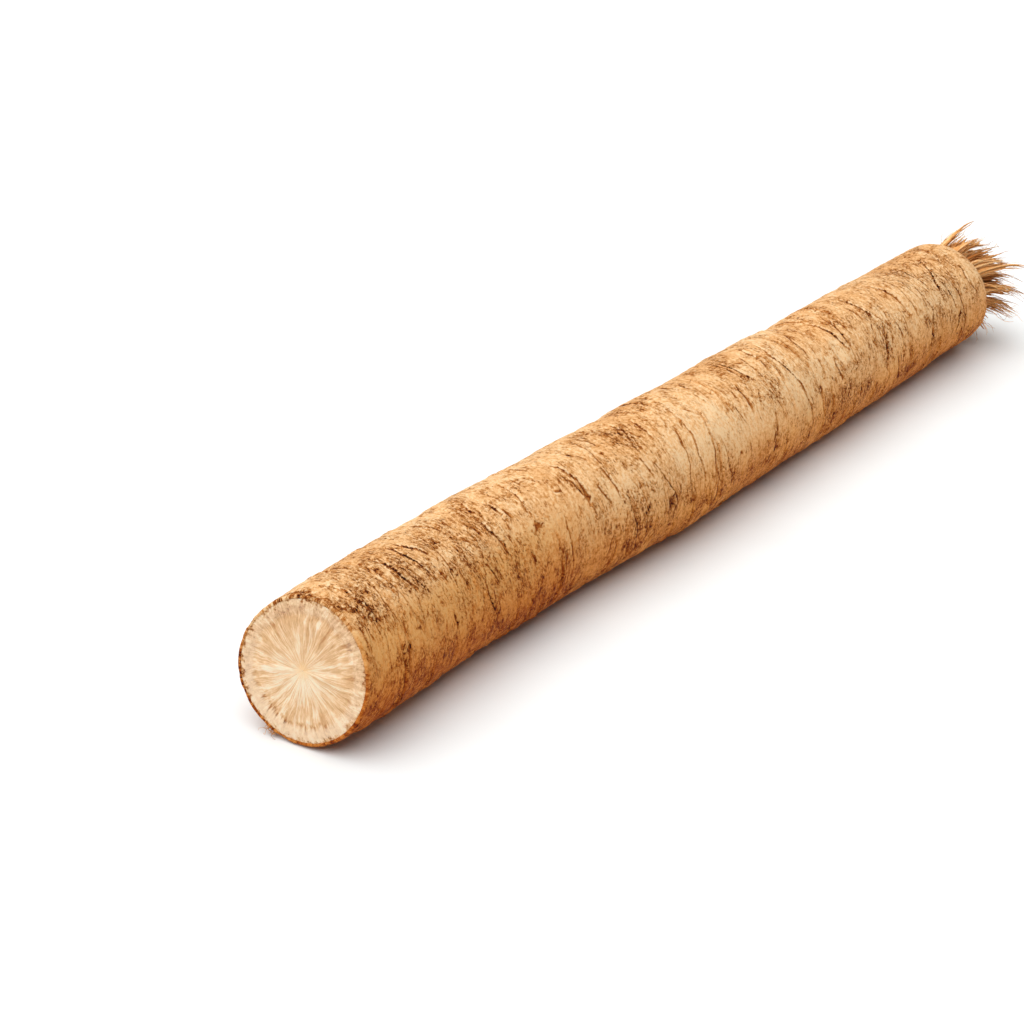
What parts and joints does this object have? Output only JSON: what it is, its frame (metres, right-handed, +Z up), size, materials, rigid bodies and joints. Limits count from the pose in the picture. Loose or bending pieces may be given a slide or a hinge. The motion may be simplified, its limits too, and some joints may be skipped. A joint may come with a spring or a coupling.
{
  "type": "burdock root",
  "caption": "Cut length of burdock taproot lying on its side, tan wrinkled bark, pale oblique cut face, rounded crown end with a brown tuft of dry fibres",
  "frame": {"origin": "on the ground under the middle of the whole length and breadth", "axes": "X runs along the root from the knife cut at -X to the crown at +X, Y is sideways and level, Z is up"},
  "size_m": [0.2712, 0.0352, 0.0306],
  "materials": {
    "bark": "matt tan skin with fine dark cracks",
    "dry_fibre": "dry brown plant fibre",
    "flesh": "moist cream cut flesh"
  },
  "bodies": {
    "root": {"root": "bark", "crown_fibres": "dry_fibre"}
  },
  "joints": []
}
